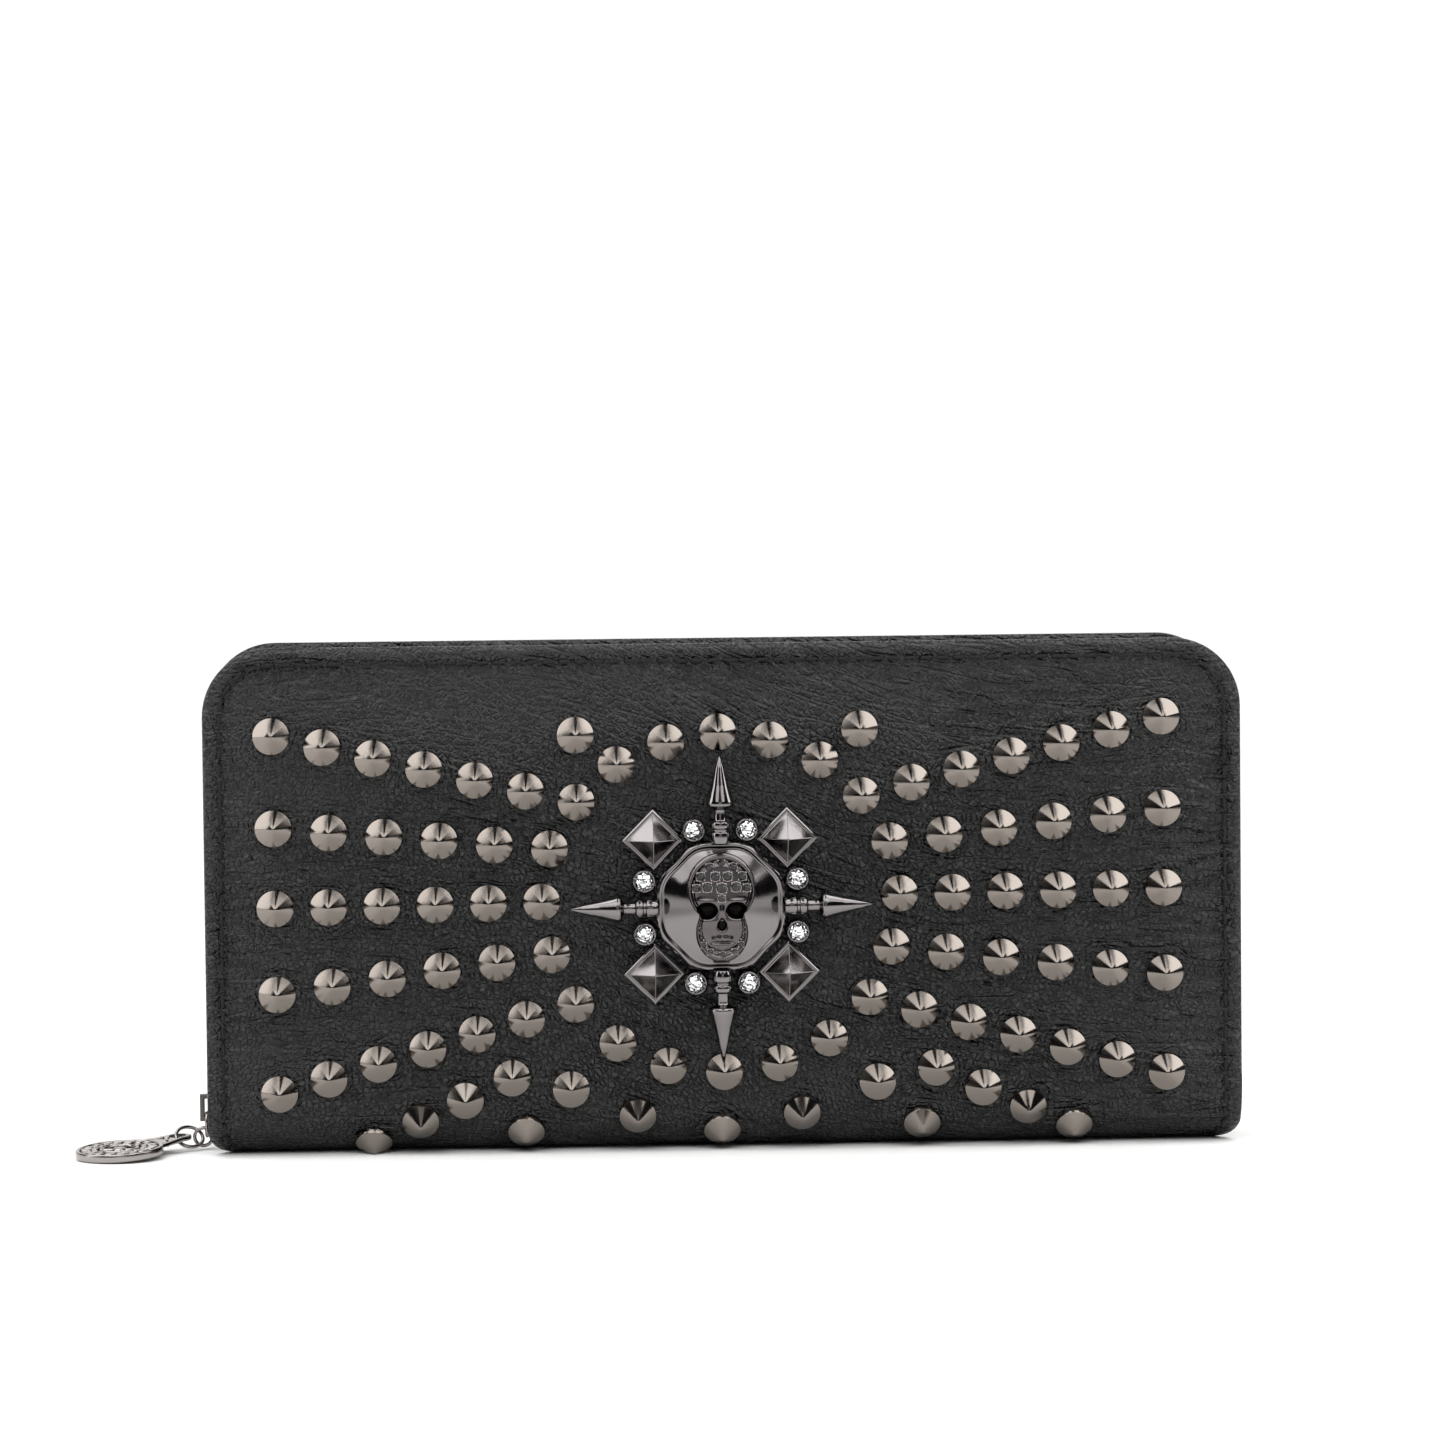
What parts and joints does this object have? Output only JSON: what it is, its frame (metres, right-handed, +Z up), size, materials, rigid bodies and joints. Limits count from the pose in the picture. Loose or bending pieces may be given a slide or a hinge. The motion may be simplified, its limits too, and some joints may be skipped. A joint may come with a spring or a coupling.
{
  "type": "zip-around long wallet",
  "caption": "Zip-around long wallet standing on its spine, front set with cone studs and a skull medallion, with a ringed zip pull.",
  "frame": {"origin": "centre of the flat underside of the spine that the wallet stands on", "axes": "+Z up, +X to the right across the wallet, the studded front faces -Y"},
  "size_m": [0.221, 0.0348, 0.0961],
  "materials": {
    "leather": "pebbled, semi-matt",
    "board": "grey-brown fibre board",
    "lining": "woven satin lining",
    "pocket_cloth": "fine-grain coated cloth",
    "zip_tape": "woven zip tape",
    "zip_teeth": "gunmetal-plated teeth",
    "zip_metal": "polished gunmetal plating",
    "pull_metal": "gunmetal plating, worn bright on the relief",
    "stud_metal": "polished warm gunmetal plating",
    "medallion_metal": "polished gunmetal plating",
    "crystal": "cut clear crystal with a foiled back",
    "skull_metal": "dark gunmetal plating",
    "dark_crystal": "cut smoke-black stones",
    "gusset_cloth": "pleated lining cloth"
  },
  "bodies": {
    "back_cover": {"back_leather": "leather", "fold_leather": "leather", "spine_board": "board", "back_board": "board", "spine_lining": "lining", "back_lining": "lining", "fold_lining": "lining", "back_card_panel": "pocket_cloth", "back_card_pocket_1": "pocket_cloth", "back_card_pocket_2": "pocket_cloth", "back_card_pocket_3": "pocket_cloth", "back_card_pocket_4": "pocket_cloth", "zip_tape_back": "zip_tape", "zip_teeth_back": "zip_teeth", "zip_end_tapes": "zip_tape", "zip_end_stops": "zip_metal", "gusset_front_left": "gusset_cloth", "gusset_front_right": "gusset_cloth", "gusset_back_left": "gusset_cloth", "gusset_back_right": "gusset_cloth"},
    "front_cover": {"front_leather": "leather", "front_board": "board", "front_lining": "lining", "front_card_panel": "pocket_cloth", "front_card_pocket_1": "pocket_cloth", "front_card_pocket_2": "pocket_cloth", "front_card_pocket_3": "pocket_cloth", "front_card_pocket_4": "pocket_cloth", "zip_tape_front": "zip_tape", "zip_teeth_front": "zip_teeth", "studs_upper_rows": "stud_metal", "studs_middle_rows": "stud_metal", "studs_lower_rows": "stud_metal", "studs_top_scallop": "stud_metal", "studs_lower_arc": "stud_metal", "studs_fold": "stud_metal", "medallion_plate": "medallion_metal", "medallion_posts": "medallion_metal", "medallion_spikes": "medallion_metal", "medallion_pyramids": "medallion_metal", "crystal_cups": "medallion_metal", "crystals": "crystal", "skull": "skull_metal", "skull_crystals": "dark_crystal"},
    "coin_divider": {"coin_pocket": "pocket_cloth", "coin_zip_tapes": "zip_tape", "coin_zip_teeth": "zip_teeth", "coin_zip_stops": "zip_metal"},
    "zip_slider": {"slider_body": "zip_metal", "slider_bridge": "zip_metal"},
    "first_link": {"pull_link_1": "pull_metal"},
    "second_link": {"pull_link_2": "pull_metal"},
    "ring": {"pull_ring": "pull_metal"},
    "disc": {"pull_disc": "pull_metal"},
    "coin_zip_slider": {"coin_slider": "zip_metal"},
    "coin_zip_pull": {"coin_pull": "zip_metal"}
  },
  "joints": [
    {"name": "front_fold", "type": "hinge", "parent": "back_cover", "child": "front_cover", "pos_m": [0, -0.003, 0.011], "axis": [1, 0, 0], "range_deg": [0, 35], "deforming": ["fold_leather", "fold_lining", "gusset_front_left", "gusset_front_right"]},
    {"name": "divider_fold", "type": "hinge", "parent": "back_cover", "child": "coin_divider", "pos_m": [0, 0, 0.006], "axis": [1, 0, 0], "range_deg": [0, 17.5], "deforming": ["gusset_back_left", "gusset_back_right"]},
    {"name": "zip_slide", "type": "slide", "parent": "back_cover", "child": "zip_slider", "axis": [0, 0, 1], "range_m": [0, 0.066], "deforming": ["zip_teeth_back", "zip_teeth_front"]},
    {"name": "first_link_swing", "type": "hinge", "parent": "zip_slider", "child": "first_link", "pos_m": [-0.0987, 0, 0.00585], "axis": [1, 0, 0], "range_deg": [-15, 15]},
    {"name": "second_link_swing", "type": "hinge", "parent": "first_link", "child": "second_link", "pos_m": [-0.0987, 0, 0.00255], "axis": [0, 1, 0], "range_deg": [-10, 20]},
    {"name": "ring_swing", "type": "hinge", "parent": "second_link", "child": "ring", "pos_m": [-0.1011, 0, 0.0024], "axis": [0, 0, 1], "range_deg": [-8, 8]},
    {"name": "disc_flip", "type": "hinge", "parent": "ring", "child": "disc", "pos_m": [-0.1043, -0.00171, 0.00247], "axis": [-0.7193, 0.6947, 0], "range_deg": [0, 30]},
    {"name": "coin_zip_slide", "type": "slide", "parent": "coin_divider", "child": "coin_zip_slider", "axis": [1, 0, 0], "range_m": [0, 0.14], "deforming": ["coin_zip_teeth"]},
    {"name": "coin_pull_flip", "type": "hinge", "parent": "coin_zip_slider", "child": "coin_zip_pull", "pos_m": [-0.0785, 0, 0.0772], "axis": [0, -1, 0], "range_deg": [0, 150]}
  ],
  "couplings": [
    {"joint": "divider_fold", "follows": "front_fold", "ratio": 0.5}
  ]
}
